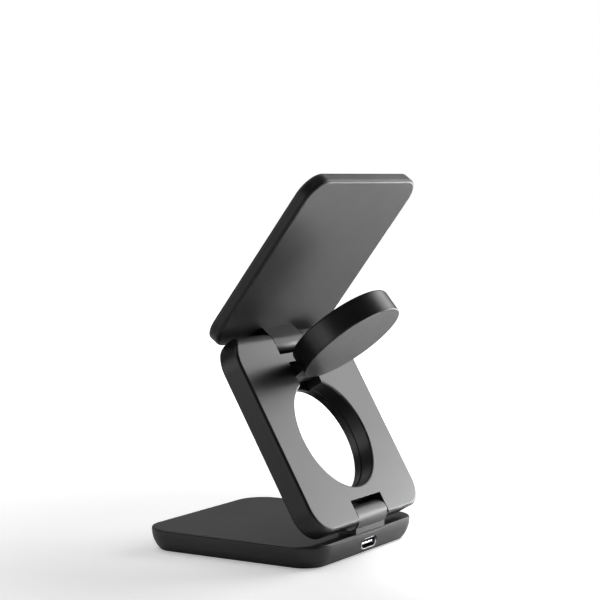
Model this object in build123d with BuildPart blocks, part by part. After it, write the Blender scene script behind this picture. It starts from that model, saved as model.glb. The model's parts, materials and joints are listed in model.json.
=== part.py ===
from build123d import *
import os
from math import cos, radians, sin, sqrt

os.makedirs("parts", exist_ok=True)

# Folding charging stand: a base, an arm that leans forward, a pad that leans back and a round puck.
# Millimetres. +Z is up, +Y is the rear with the power inlet, and the origin is the centre of the underside.

# Base slab
base_width = 64.6
base_depth = 62.6
base_height = 7.1
base_corner = 9.4
base_side_round = 8.9
base_bottom_edge = 0.3
base_wall = 1.6
base_floor = 1.0
foot_clear = 0.15
foot_seat = 0.65
foot_border = 1.2
cover_edge = 0.6
cover_thick = 1.4
cover_chamfer = 0.3
parting_chamfer = 0.15
cover_clear = 0.4

# Screws under the foot pad
screw_head_radius = 1.7
screw_head_height = 0.6
screw_shank_radius = 0.9
screw_length = 2.8
screw_boss_radius = 2.2
screw_inset = 9.0
screw_clear = 0.05
screw_tip_clear = 0.3

# Power inlet
usb_width = 8.94
usb_height = 3.26
usb_length = 7.3
usb_skin = 0.3
usb_back = 0.5
usb_centre_z = 3.4
usb_sink = 0.2
usb_clear = 0.08
tongue_width = 6.7
tongue_thick = 0.7
tongue_length = 6.3

# Charging parts inside the base
earbud_coil_outer = 16.0
earbud_coil_inner = 7.0
earbud_coil_thick = 1.0
earbud_coil_y = -7.0
earbud_ferrite_radius = 17.0
earbud_ferrite_thick = 0.8
ferrite_rib_width = 2.0
board_thick = 0.8
board_lift = 1.0
board_depth = 11.0
board_clear = 1.0
board_post_radius = 1.5
board_post_inset = 3.0

# Arm
arm_lean = 30.1
arm_width = 63.5
arm_thick = 7.2
arm_foot = 2.15
arm_reach = 58.6
arm_corner = 8.0
arm_top_corner = 10.5
arm_top_rise = 0.6
arm_edge = 0.9
arm_wall = 1.6
arm_cover_thick = 1.4
arm_cover_border = 1.5
arm_cover_clear = 0.1
arm_cover_corner = 5.0
hole_foot = 8.3
hole_head = 14.7
hole_lip = 0.3
hole_lip_depth = 2.4
hole_edge = 0.6
rail_wall = 2.4
rail_corner = 2.0
cable_side_clear = 1.6
cable_thick = 0.4
cable_end_clear = 2.0

# Main hinges, one at each end of the arm
fold_gap = 0.8
hinge_inset = 2.53
knuckle_width = 17.4
notch_room = 1.1
notch_lip_clear = 0.35
slot_clear = 0.2
leg_clear = 0.25
leg_toe = 1.0
leg_top_clear = 0.1
post_gap = 0.15
leg_usb_clear = 0.9
bridge_clear = 0.35
pin_radius = 1.5
pin_seat = 6.0
pin_end_clear = 0.2
washer_radius = 3.2
washer_thick = 0.3
washer_play = 0.05
running_clear = 0.05
press_clear = 0.02

# Phone pad
pad_lean = 37.0
pad_thick = 4.0
pad_foot = 2.3
pad_overhang = 1.0
pad_corner = 7.5
pad_edge = 1.0
pad_wall = 1.5
pad_back = 0.9
pad_cover = 1.0
pad_cover_edge = 0.5
pad_rim = 1.0
pad_rim_height = 0.8
pad_rim_clear = 0.15
magnet_room = 1.8
magnet_band = 4.0
magnet_thick = 1.0
magnet_count = 16
magnet_gap = 1.0
backing_thick = 0.5
phone_coil_room = 1.0
phone_coil_inner = 10.0
phone_coil_thick = 0.7
phone_ferrite_border = 0.3
phone_ferrite_thick = 0.6
pad_board_width = 30.0
pad_board_height = 18.0
pad_board_thick = 0.6

# Watch puck, hinged at the top of the arm's hole
puck_open = 99.7
puck_clear = 0.7
puck_hinge_gap = 3.9
puck_proud = 0.4
puck_edge = 0.8
puck_wall = 1.5
puck_bottom = 1.6
puck_bottom_edge = 0.5
puck_rim = 1.0
puck_rim_height = 0.8
puck_rim_clear = 0.2
flap_pin_depth = 2.9
flap_barrel_radius = 2.6
flap_barrel_room = 0.6
flap_width = 12.4
flap_side_play = 0.2
flap_pin_radius = 1.0
flap_pin_seat = 3.9
neck_above = 1.4
neck_below = 2.2
face_inset = 2.4
face_thick = 1.2
face_clear = 0.05
face_ledge = 1.0
face_ledge_thick = 0.8
face_dish = 0.5
face_dish_margin = 1.2
watch_coil_room = 2.9
watch_coil_inner = 6.0
watch_coil_thick = 1.2
watch_ferrite_border = 0.3
watch_ferrite_thick = 0.8
watch_magnet_radius = 4.0
watch_magnet_clear = 0.3
puck_board_room = 4.4
puck_board_thick = 0.8
puck_post_inset = 2.0
puck_post_wall = 1.0


def side_inset(side_round, depth):
    """How far the rounded side of the base has drawn in at a depth below the parting line."""
    return side_round - sqrt(side_round**2 - depth**2)


# Levels inside the base
parting_z = base_height - cover_edge
cover_low_z = base_height - cover_thick
foot_top_z = foot_clear + foot_seat
floor_z = foot_top_z + base_floor
cavity_round = base_side_round - base_wall
underside_inset = side_inset(base_side_round, parting_z - foot_clear)
cavity_inset = side_inset(cavity_round, parting_z - floor_z)
foot_inset = underside_inset + base_bottom_edge + foot_border
head_top_z = foot_top_z + screw_head_height
screw_top_z = head_top_z + screw_length
screw_x = base_width / 2 - screw_inset
screw_y = base_depth / 2 - screw_inset

# Power inlet: its mouth meets the rounded rear face a little below the inlet's middle
usb_front = base_depth / 2 - side_inset(base_side_round, parting_z - usb_centre_z + usb_sink)
usb_end = usb_front - usb_length
board_low_z = floor_z + board_lift
board_width = 2 * (screw_x - screw_boss_radius - board_clear)
board_y = usb_end - board_depth / 2
board_post_pitch = board_width - 2 * board_post_inset
board_post_rows = board_depth - 2 * board_post_inset

# Hinges: the barrel is as thick as the arm, so it lies flush with both of its faces
arm_half = arm_thick / 2
hinge_y = base_depth / 2 - hinge_inset
hinge_z = base_height + fold_gap + arm_half
knuckle_half = knuckle_width / 2
notch_width = knuckle_width + 2 * (washer_thick + 2 * washer_play)
notch_half = notch_width / 2
notch_depth = arm_half + notch_room
notch_lip = arm_half + notch_lip_clear
pin_half = notch_half + pin_seat
leg_inner = usb_width / 2 + leg_usb_clear
leg_x = (leg_inner + knuckle_half) / 2
leg_width = knuckle_half - leg_inner
leg_front = hinge_y - arm_half
leg_rear = base_depth / 2 - base_wall - cavity_inset - leg_clear
leg_depth = leg_rear - leg_front + leg_toe
leg_y = leg_rear - leg_depth / 2
post_low_z = base_height + post_gap
bridge_low_z = usb_centre_z + usb_height / 2 + bridge_clear
beyond = arm_thick

# The hole fills the arm between the two hinges, and the closed puck fills the hole
hole_radius = (arm_reach - hole_foot - hole_head) / 2
hole_centre = hole_foot + hole_radius
puck_radius = hole_radius - puck_clear
puck_reach = hole_radius + puck_hinge_gap
puck_cavity_radius = puck_radius - puck_wall
watch_coil_outer = puck_cavity_radius - watch_coil_room
watch_ferrite_radius = watch_coil_outer + watch_ferrite_border
puck_board_radius = puck_cavity_radius - puck_board_room
puck_post_radius = puck_board_radius - puck_post_inset

# The pad is as wide as the arm and reaches past its lower hinge when it is folded
pad_width = arm_width
pad_reach = arm_reach + pad_overhang
pad_height = pad_foot + pad_reach
magnet_outer = min(pad_width, pad_height) / 2 - pad_wall - pad_rim_clear - pad_rim - magnet_room
magnet_inner = magnet_outer - magnet_band
phone_coil_outer = magnet_inner - phone_coil_room
phone_ferrite_radius = phone_coil_outer + phone_ferrite_border

# Working planes: local X is the width, local Y runs up each plate, local Z is its front side
lean = radians(arm_lean)
tilt = radians(pad_lean)
arm_plane = Plane(origin=(0, hinge_y, hinge_z), x_dir=(1, 0, 0), z_dir=(0, -cos(lean), -sin(lean)))
pad_plane = Plane(
    origin=arm_plane.from_local_coords((0, arm_reach, 0)),
    x_dir=(1, 0, 0),
    z_dir=(0, -cos(tilt), sin(tilt)),
)
flap_v = hole_centre + puck_reach
flap_w = flap_pin_depth - arm_half
flap_tilt = radians(180 - arm_lean - puck_open)
puck_plane = Plane(
    origin=arm_plane.from_local_coords((0, flap_v, flap_w)),
    x_dir=(1, 0, 0),
    z_dir=(0, -cos(flap_tilt), sin(flap_tilt)),
)
rear_plane = Plane(origin=(0, usb_front, usb_centre_z), x_dir=(-1, 0, 0), z_dir=(0, 1, 0))


def side_of(plane):
    """The plane across a plate's width: local X runs up the plate and local Y through it."""
    return Plane(origin=plane.origin, x_dir=plane.y_dir, z_dir=plane.x_dir)


arm_side = side_of(arm_plane)
upper_side = Plane(origin=pad_plane.origin, x_dir=arm_plane.y_dir, z_dir=arm_plane.x_dir)
pad_side = side_of(pad_plane)
puck_side = side_of(puck_plane)


def ring(outer, inner):
    """A flat ring in the current sketch."""
    Circle(outer)
    Circle(inner, mode=Mode.SUBTRACT)


# Base lower shell
with BuildPart() as base_cavity:
    with BuildSketch(Plane.XY.offset(parting_z - cavity_round)):
        RectangleRounded(base_width - 2 * base_wall, base_depth - 2 * base_wall, base_corner - base_wall)
    extrude(amount=cavity_round + base_height)
    fillet(base_cavity.faces().sort_by(Axis.Z)[0].edges(), cavity_round)
    split(bisect_by=Plane.XY.offset(floor_z), keep=Keep.TOP)

with BuildPart() as base_lower_shell:
    with BuildSketch(Plane.XY.offset(parting_z - base_side_round)):
        RectangleRounded(base_width, base_depth, base_corner)
    extrude(amount=base_side_round + base_height)
    fillet(base_lower_shell.faces().sort_by(Axis.Z)[0].edges(), base_side_round)
    split(bisect_by=Plane.XY.offset(parting_z), keep=Keep.BOTTOM)
    split(bisect_by=Plane.XY.offset(foot_clear), keep=Keep.TOP)
    fillet(base_lower_shell.faces().sort_by(Axis.Z)[0].edges(), base_bottom_edge)
    chamfer(base_lower_shell.faces().sort_by(Axis.Z)[-1].edges(), parting_chamfer)
    add(base_cavity.part, mode=Mode.SUBTRACT)
    with BuildSketch(Plane.XY.offset(foot_clear)):
        RectangleRounded(base_width - 2 * foot_inset, base_depth - 2 * foot_inset, base_corner - foot_inset)
    extrude(amount=foot_seat, mode=Mode.SUBTRACT)
    with BuildSketch(Plane.XY.offset(foot_top_z)):
        with GridLocations(2 * screw_x, 2 * screw_y, 2, 2):
            Circle(screw_head_radius + screw_clear)
        with Locations((-leg_x, leg_y), (leg_x, leg_y)):
            Circle(screw_head_radius + screw_clear)
    extrude(amount=screw_head_height, mode=Mode.SUBTRACT)
    with BuildSketch(Plane.XY.offset(head_top_z)):
        with GridLocations(2 * screw_x, 2 * screw_y, 2, 2):
            Circle(screw_shank_radius + screw_clear)
        with Locations((-leg_x, leg_y), (leg_x, leg_y)):
            Circle(screw_shank_radius + screw_clear)
    extrude(amount=base_floor, mode=Mode.SUBTRACT)
    with BuildSketch(Plane.XY.offset(floor_z)):
        with Locations((0, earbud_coil_y)):
            ring(earbud_coil_outer, earbud_coil_outer - ferrite_rib_width)
    extrude(amount=cover_low_z - earbud_coil_thick - earbud_ferrite_thick - floor_z)
    with BuildSketch(Plane.XY.offset(floor_z)):
        with Locations((0, board_y)):
            with GridLocations(board_post_pitch, board_post_rows, 2, 2):
                Circle(board_post_radius)
    extrude(amount=board_lift)
    with BuildSketch(rear_plane.offset(base_wall)):
        SlotOverall(usb_width + 2 * usb_clear, usb_height + 2 * usb_clear)
    extrude(amount=-(base_wall + usb_length), mode=Mode.SUBTRACT)
base_lower_shell.part.label = "base_lower_shell"
export_step(base_lower_shell.part, "parts/base_lower_shell.step")

# Base top cover: a fine edge over the shell, parted from it by a groove, and a thicker plate inside it
with BuildPart() as base_top_cover:
    with BuildSketch(Plane.XY.offset(parting_z)):
        RectangleRounded(base_width, base_depth, base_corner)
    extrude(amount=cover_edge)
    chamfer(base_top_cover.faces().sort_by(Axis.Z)[-1].edges(), cover_chamfer)
    chamfer(base_top_cover.faces().sort_by(Axis.Z)[0].edges(), parting_chamfer)
    with BuildSketch(Plane.XY.offset(parting_z)):
        plug_inset = base_wall + cover_clear
        RectangleRounded(base_width - 2 * plug_inset, base_depth - 2 * plug_inset, base_corner - plug_inset)
    extrude(amount=cover_low_z - parting_z)
    with BuildSketch(Plane.XY.offset(floor_z)):
        with GridLocations(2 * screw_x, 2 * screw_y, 2, 2):
            Circle(screw_boss_radius)
    extrude(amount=parting_z - floor_z)
    with BuildSketch(Plane.XY.offset(floor_z)):
        with GridLocations(2 * screw_x, 2 * screw_y, 2, 2):
            Circle(screw_shank_radius + screw_clear)
    extrude(amount=screw_top_z + screw_tip_clear - floor_z, mode=Mode.SUBTRACT)
    with BuildSketch(Plane.XY.offset(floor_z)):
        with Locations((0, leg_front - slot_clear)):
            Rectangle(
                knuckle_width + 2 * slot_clear,
                leg_rear - leg_front + 2 * slot_clear,
                align=(Align.CENTER, Align.MIN),
            )
    extrude(amount=base_height, mode=Mode.SUBTRACT)
base_top_cover.part.label = "base_top_cover"
export_step(base_top_cover.part, "parts/base_top_cover.step")

# Foot pad
with BuildPart() as base_foot_pad:
    with BuildSketch(Plane.XY):
        RectangleRounded(
            base_width - 2 * (foot_inset + screw_clear),
            base_depth - 2 * (foot_inset + screw_clear),
            base_corner - foot_inset - screw_clear,
        )
    extrude(amount=foot_top_z)
base_foot_pad.part.label = "base_foot_pad"
export_step(base_foot_pad.part, "parts/base_foot_pad.step")

# Screws: four hold the top cover and two hold the hinge knuckle
with BuildPart() as base_screws:
    with BuildSketch(Plane.XY.offset(foot_top_z)):
        with GridLocations(2 * screw_x, 2 * screw_y, 2, 2):
            Circle(screw_head_radius)
        with Locations((-leg_x, leg_y), (leg_x, leg_y)):
            Circle(screw_head_radius)
    extrude(amount=screw_head_height)
    with BuildSketch(Plane.XY.offset(head_top_z)):
        with GridLocations(2 * screw_x, 2 * screw_y, 2, 2):
            Circle(screw_shank_radius)
        with Locations((-leg_x, leg_y), (leg_x, leg_y)):
            Circle(screw_shank_radius)
    extrude(amount=screw_length)
base_screws.part.label = "base_screws"
export_step(base_screws.part, "parts/base_screws.step")

# Base hinge knuckle: a barrel on a post that oversails the rear rim, with two legs astride the power inlet
with BuildPart() as base_hinge_knuckle:
    with BuildSketch(Plane.XY.offset(post_low_z)):
        with Locations((0, leg_front)):
            Rectangle(knuckle_width, base_depth / 2 - leg_front, align=(Align.CENTER, Align.MIN))
    extrude(amount=hinge_z - post_low_z)
    with BuildSketch(Plane.XY.offset(bridge_low_z)):
        with Locations((0, leg_front)):
            Rectangle(knuckle_width, leg_rear - leg_front, align=(Align.CENTER, Align.MIN))
    extrude(amount=post_low_z - bridge_low_z)
    with BuildSketch(Plane.XY.offset(floor_z)):
        with Locations((-leg_x, leg_y), (leg_x, leg_y)):
            Rectangle(leg_width, leg_depth)
    extrude(amount=cover_low_z - leg_top_clear - floor_z)
    with BuildSketch(Plane.YZ):
        with Locations((hinge_y, hinge_z)):
            Circle(arm_half)
    extrude(amount=knuckle_half, both=True)
    with BuildSketch(Plane.YZ):
        with Locations((hinge_y, hinge_z)):
            Circle(pin_radius + running_clear)
    extrude(amount=knuckle_half, both=True, mode=Mode.SUBTRACT)
    with BuildSketch(Plane.XY.offset(floor_z)):
        with Locations((-leg_x, leg_y), (leg_x, leg_y)):
            Circle(screw_shank_radius + screw_clear)
    extrude(amount=screw_top_z + screw_tip_clear - floor_z, mode=Mode.SUBTRACT)
base_hinge_knuckle.part.label = "base_hinge_knuckle"
export_step(base_hinge_knuckle.part, "parts/base_hinge_knuckle.step")

# Power inlet shell
with BuildPart() as usb_c_shell:
    with BuildSketch(rear_plane):
        SlotOverall(usb_width, usb_height)
    extrude(amount=-usb_length)
    with BuildSketch(rear_plane):
        SlotOverall(usb_width - 2 * usb_skin, usb_height - 2 * usb_skin)
    extrude(amount=-(usb_length - usb_back), mode=Mode.SUBTRACT)
usb_c_shell.part.label = "usb_c_shell"
export_step(usb_c_shell.part, "parts/usb_c_shell.step")

# Power inlet tongue
with BuildPart() as usb_c_tongue:
    with BuildSketch(rear_plane.offset(-(usb_length - usb_back))):
        Rectangle(tongue_width, tongue_thick)
    extrude(amount=tongue_length)
    fillet(usb_c_tongue.faces().sort_by(Axis.Y)[-1].edges(), tongue_thick / 4)
usb_c_tongue.part.label = "usb_c_tongue"
export_step(usb_c_tongue.part, "parts/usb_c_tongue.step")

# Base circuit board
with BuildPart() as base_circuit_board:
    with BuildSketch(Plane.XY.offset(board_low_z)):
        with Locations((0, board_y)):
            Rectangle(board_width, board_depth)
    extrude(amount=board_thick)
base_circuit_board.part.label = "base_circuit_board"
export_step(base_circuit_board.part, "parts/base_circuit_board.step")

# Earbud charging coil, against the underside of the top cover
with BuildPart() as earbud_coil:
    with BuildSketch(Plane.XY.offset(cover_low_z)):
        with Locations((0, earbud_coil_y)):
            ring(earbud_coil_outer, earbud_coil_inner)
    extrude(amount=-earbud_coil_thick)
earbud_coil.part.label = "earbud_coil"
export_step(earbud_coil.part, "parts/earbud_coil.step")

# Earbud ferrite sheet
with BuildPart() as earbud_ferrite:
    with BuildSketch(Plane.XY.offset(cover_low_z - earbud_coil_thick)):
        with Locations((0, earbud_coil_y)):
            Circle(earbud_ferrite_radius)
    extrude(amount=-earbud_ferrite_thick)
earbud_ferrite.part.label = "earbud_ferrite"
export_step(earbud_ferrite.part, "parts/earbud_ferrite.step")

# Outer form of the arm: a slab with a fully rounded top end and softened edges
arm_top = arm_reach + arm_half + arm_top_rise
with BuildPart() as arm_form:
    with BuildSketch(arm_side):
        with BuildLine():
            Polyline(
                (arm_reach, -arm_half),
                (-arm_foot, -arm_half),
                (-arm_foot, arm_half),
                (arm_reach, arm_half),
            )
            ThreePointArc((arm_reach, arm_half), (arm_reach + arm_half, 0), (arm_reach, -arm_half))
        make_face()
    extrude(amount=arm_width / 2, both=True)
    with BuildSketch(arm_plane.offset(-arm_thick)) as arm_outline:
        with Locations((0, -arm_foot)):
            Rectangle(arm_width, arm_top + arm_foot, align=(Align.CENTER, Align.MIN))
        fillet(arm_outline.vertices().group_by(Axis.Y)[0], arm_corner)
        fillet(arm_outline.vertices().group_by(Axis.Y)[-1], arm_top_corner)
    extrude(amount=2 * arm_thick, mode=Mode.INTERSECT)
    straight = arm_form.edges().filter_by(GeomType.LINE)
    seams_through = straight.filter_by(Axis((0, 0, 0), arm_plane.z_dir))
    seams_across = straight.filter_by(Axis.X).sort_by(Axis((0, 0, 0), arm_plane.y_dir))[-2:]
    fillet(arm_form.edges() - seams_through - seams_across, arm_edge)

# Arm housing: the whole outer form, hollowed from the front
cover_low_v = notch_depth + arm_cover_border
cover_high_v = arm_reach - notch_depth - arm_cover_border
cover_mid_v = (cover_low_v + cover_high_v) / 2
cover_floor_w = arm_half - arm_cover_thick
cover_panel_width = arm_width - 2 * arm_cover_border
cover_panel_height = cover_high_v - cover_low_v
rail_inner = hole_radius + rail_wall
rail_outer = arm_width / 2 - arm_cover_border - arm_wall
rail_mid = (rail_inner + rail_outer) / 2
rail_width = rail_outer - rail_inner
rail_height = cover_panel_height - 2 * arm_wall
rail_floor_w = arm_wall - arm_half
flap_slot_top = flap_v + flap_barrel_radius + flap_barrel_room
flap_slot_width = flap_width + 2 * flap_side_play
flap_pin_half = flap_slot_width / 2 + flap_pin_seat
with BuildPart() as arm_housing:
    add(arm_form.part)
    with BuildSketch(arm_plane.offset(-beyond)):
        with Locations((0, hole_centre)):
            Circle(hole_radius)
    extrude(amount=beyond + arm_half - hole_lip_depth, mode=Mode.SUBTRACT)
    hole_rims = arm_housing.edges().filter_by(GeomType.CIRCLE).sort_by(SortBy.RADIUS)[-2:]
    fillet(hole_rims.sort_by(Axis((0, 0, 0), arm_plane.z_dir))[0], hole_edge)
    with BuildSketch(arm_plane):
        with Locations((0, hole_centre)):
            Circle(hole_radius - hole_lip)
    extrude(amount=beyond, mode=Mode.SUBTRACT)
    with BuildSketch(arm_plane.offset(-beyond)):
        with Locations((0, notch_depth)):
            Rectangle(notch_width, notch_depth + beyond, align=(Align.CENTER, Align.MAX))
        with Locations((0, arm_reach - notch_depth)):
            Rectangle(notch_width, notch_depth + beyond, align=(Align.CENTER, Align.MIN))
    extrude(amount=beyond + cover_floor_w, mode=Mode.SUBTRACT)
    with BuildSketch(arm_plane):
        with Locations((0, notch_lip)):
            Rectangle(notch_width, notch_lip + beyond, align=(Align.CENTER, Align.MAX))
        with Locations((0, arm_reach - notch_lip)):
            Rectangle(notch_width, notch_lip + beyond, align=(Align.CENTER, Align.MIN))
    extrude(amount=beyond, mode=Mode.SUBTRACT)
    with BuildSketch(arm_plane.offset(cover_floor_w)):
        with Locations((0, cover_mid_v)):
            RectangleRounded(cover_panel_width, cover_panel_height, arm_cover_corner)
    extrude(amount=beyond, mode=Mode.SUBTRACT)
    with BuildSketch(arm_plane.offset(rail_floor_w)):
        with Locations((-rail_mid, cover_mid_v), (rail_mid, cover_mid_v)):
            RectangleRounded(rail_width, rail_height, rail_corner)
    extrude(amount=beyond, mode=Mode.SUBTRACT)
    with BuildSketch(arm_plane.offset(-beyond)):
        with Locations((0, hole_centre)):
            Rectangle(flap_slot_width, flap_slot_top - hole_centre, align=(Align.CENTER, Align.MIN))
    extrude(amount=beyond + cover_floor_w, mode=Mode.SUBTRACT)
    with BuildSketch(arm_side):
        with Locations((0, 0), (arm_reach, 0)):
            Circle(pin_radius + press_clear)
    extrude(amount=pin_half + pin_end_clear, both=True, mode=Mode.SUBTRACT)
    with BuildSketch(arm_side):
        with Locations((flap_v, flap_w)):
            Circle(flap_pin_radius + press_clear)
    extrude(amount=flap_pin_half + pin_end_clear, both=True, mode=Mode.SUBTRACT)
arm_housing.part.label = "arm_housing"
export_step(arm_housing.part, "parts/arm_housing.step")

# Arm front cover: a panel let into the front, whose smaller hole leaves a lip
with BuildPart() as arm_front_cover:
    with BuildSketch(arm_plane.offset(cover_floor_w)):
        with Locations((0, cover_mid_v)):
            RectangleRounded(
                cover_panel_width - 2 * arm_cover_clear,
                cover_panel_height - 2 * arm_cover_clear,
                arm_cover_corner - arm_cover_clear,
            )
        with Locations((0, hole_centre)):
            Circle(hole_radius - hole_lip, mode=Mode.SUBTRACT)
    extrude(amount=arm_cover_thick)
arm_front_cover.part.label = "arm_front_cover"
export_step(arm_front_cover.part, "parts/arm_front_cover.step")

# Ribbon cable that runs up one rail of the arm
with BuildPart() as arm_ribbon_cable:
    with BuildSketch(arm_plane.offset(rail_floor_w)):
        with Locations((rail_mid, cover_mid_v)):
            Rectangle(rail_width - 2 * cable_side_clear, rail_height - 2 * cable_end_clear)
    extrude(amount=cable_thick)
arm_ribbon_cable.part.label = "arm_ribbon_cable"
export_step(arm_ribbon_cable.part, "parts/arm_ribbon_cable.step")

# Lower hinge pin
with BuildPart() as lower_hinge_pin:
    with BuildSketch(arm_side):
        Circle(pin_radius)
    extrude(amount=pin_half, both=True)
lower_hinge_pin.part.label = "lower_hinge_pin"
export_step(lower_hinge_pin.part, "parts/lower_hinge_pin.step")

# Lower friction washers, one at each end of the barrel
with BuildPart() as lower_hinge_washers:
    with BuildSketch(
        arm_side.offset(knuckle_half + washer_play),
        arm_side.offset(-knuckle_half - washer_play - washer_thick),
    ):
        ring(washer_radius, pin_radius + running_clear)
    extrude(amount=washer_thick)
lower_hinge_washers.part.label = "lower_hinge_washers"
export_step(lower_hinge_washers.part, "parts/lower_hinge_washers.step")

# Upper hinge pin
with BuildPart() as upper_hinge_pin:
    with BuildSketch(upper_side):
        Circle(pin_radius)
    extrude(amount=pin_half, both=True)
upper_hinge_pin.part.label = "upper_hinge_pin"
export_step(upper_hinge_pin.part, "parts/upper_hinge_pin.step")

# Upper friction washers
with BuildPart() as upper_hinge_washers:
    with BuildSketch(
        upper_side.offset(knuckle_half + washer_play),
        upper_side.offset(-knuckle_half - washer_play - washer_thick),
    ):
        ring(washer_radius, pin_radius + running_clear)
    extrude(amount=washer_thick)
upper_hinge_washers.part.label = "upper_hinge_washers"
export_step(upper_hinge_washers.part, "parts/upper_hinge_washers.step")

# Puck hinge pin
with BuildPart() as puck_hinge_pin:
    with BuildSketch(arm_side):
        with Locations((flap_v, flap_w)):
            Circle(flap_pin_radius)
    extrude(amount=flap_pin_half, both=True)
puck_hinge_pin.part.label = "puck_hinge_pin"
export_step(puck_hinge_pin.part, "parts/puck_hinge_pin.step")

# Levels through the pad, measured forward from the upper hinge axis
pad_back_w = arm_half + fold_gap
pad_floor_w = pad_back_w + pad_back
pad_front_w = pad_back_w + pad_thick
pad_parting_w = pad_front_w - pad_cover
pad_mid_v = (pad_reach - pad_foot) / 2
pad_pocket_width = pad_width - 2 * pad_wall
pad_pocket_height = pad_height - 2 * pad_wall

# Pad back shell, with the hinge barrel moulded on
with BuildPart() as pad_back_shell:
    with BuildSketch(pad_plane.offset(pad_back_w)):
        with Locations((0, pad_mid_v)):
            RectangleRounded(pad_width, pad_height, pad_corner)
    extrude(amount=pad_parting_w - pad_back_w)
    back_face = pad_back_shell.faces().sort_by(Axis((0, 0, 0), pad_plane.z_dir))[0]
    fillet(back_face.edges(), pad_edge)
    with BuildSketch(pad_plane.offset(pad_floor_w)):
        with Locations((0, pad_mid_v)):
            RectangleRounded(pad_pocket_width, pad_pocket_height, pad_corner - pad_wall)
    extrude(amount=pad_thick, mode=Mode.SUBTRACT)
    with BuildSketch(pad_side):
        with Locations((pad_edge - pad_foot, 0)):
            Rectangle(
                pad_foot - pad_edge + arm_half,
                (pad_back_w + pad_floor_w) / 2,
                align=(Align.MIN, Align.MIN),
            )
        Circle(arm_half)
    extrude(amount=knuckle_half, both=True)
    with BuildSketch(pad_side):
        Circle(pin_radius + running_clear)
    extrude(amount=knuckle_half, both=True, mode=Mode.SUBTRACT)
pad_back_shell.part.label = "pad_back_shell"
export_step(pad_back_shell.part, "parts/pad_back_shell.step")

# Pad front cover: the face that the phone sits on
with BuildPart() as pad_front_cover:
    with BuildSketch(pad_plane.offset(pad_parting_w)):
        with Locations((0, pad_mid_v)):
            RectangleRounded(pad_width, pad_height, pad_corner)
    extrude(amount=pad_cover)
    front_face = pad_front_cover.faces().sort_by(Axis((0, 0, 0), pad_plane.z_dir))[-1]
    fillet(front_face.edges(), pad_cover_edge)
    with BuildSketch(pad_plane.offset(pad_parting_w)):
        with Locations((0, pad_mid_v)):
            RectangleRounded(
                pad_pocket_width - 2 * pad_rim_clear,
                pad_pocket_height - 2 * pad_rim_clear,
                pad_corner - pad_wall - pad_rim_clear,
            )
            RectangleRounded(
                pad_pocket_width - 2 * (pad_rim_clear + pad_rim),
                pad_pocket_height - 2 * (pad_rim_clear + pad_rim),
                pad_corner - pad_wall - pad_rim_clear - pad_rim,
                mode=Mode.SUBTRACT,
            )
    extrude(amount=-pad_rim_height)
pad_front_cover.part.label = "pad_front_cover"
export_step(pad_front_cover.part, "parts/pad_front_cover.step")

# Magnet segments in a ring behind the pad's face
with BuildPart() as phone_magnets:
    with BuildSketch(pad_plane.offset(pad_parting_w)):
        with Locations((0, pad_mid_v)):
            ring(magnet_outer, magnet_inner)
            with PolarLocations((magnet_outer + magnet_inner) / 2, magnet_count):
                Rectangle(2 * (magnet_outer - magnet_inner), magnet_gap, mode=Mode.SUBTRACT)
    extrude(amount=-magnet_thick)
phone_magnets.part.label = "phone_magnets"
export_step(phone_magnets.part, "parts/phone_magnets.step")

# Steel ring that backs the magnets
with BuildPart() as magnet_backing_ring:
    with BuildSketch(pad_plane.offset(pad_parting_w - magnet_thick)):
        with Locations((0, pad_mid_v)):
            ring(magnet_outer, magnet_inner)
    extrude(amount=-backing_thick)
magnet_backing_ring.part.label = "magnet_backing_ring"
export_step(magnet_backing_ring.part, "parts/magnet_backing_ring.step")

# Phone charging coil
with BuildPart() as phone_coil:
    with BuildSketch(pad_plane.offset(pad_parting_w)):
        with Locations((0, pad_mid_v)):
            ring(phone_coil_outer, phone_coil_inner)
    extrude(amount=-phone_coil_thick)
phone_coil.part.label = "phone_coil"
export_step(phone_coil.part, "parts/phone_coil.step")

# Phone ferrite sheet
with BuildPart() as phone_ferrite:
    with BuildSketch(pad_plane.offset(pad_parting_w - phone_coil_thick)):
        with Locations((0, pad_mid_v)):
            Circle(phone_ferrite_radius)
    extrude(amount=-phone_ferrite_thick)
phone_ferrite.part.label = "phone_ferrite"
export_step(phone_ferrite.part, "parts/phone_ferrite.step")

# Pad circuit board, on the inside of the back wall
with BuildPart() as pad_circuit_board:
    with BuildSketch(pad_plane.offset(pad_floor_w)):
        with Locations((0, pad_mid_v)):
            Rectangle(pad_board_width, pad_board_height)
    extrude(amount=pad_board_thick)
pad_circuit_board.part.label = "pad_circuit_board"
export_step(pad_circuit_board.part, "parts/pad_circuit_board.step")

# Levels through the puck, measured from its hinge axis towards the charging face
puck_high_w = flap_pin_depth
puck_low_w = flap_pin_depth - arm_thick - puck_proud
puck_parting_w = puck_low_w + puck_bottom
face_low_w = puck_high_w - face_thick
face_radius = puck_radius - face_inset
ledge_low_w = face_low_w - face_ledge_thick
coil_low_w = face_low_w - watch_coil_thick
ferrite_low_w = coil_low_w - watch_ferrite_thick
puck_board_low_w = ferrite_low_w - puck_board_thick

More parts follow.
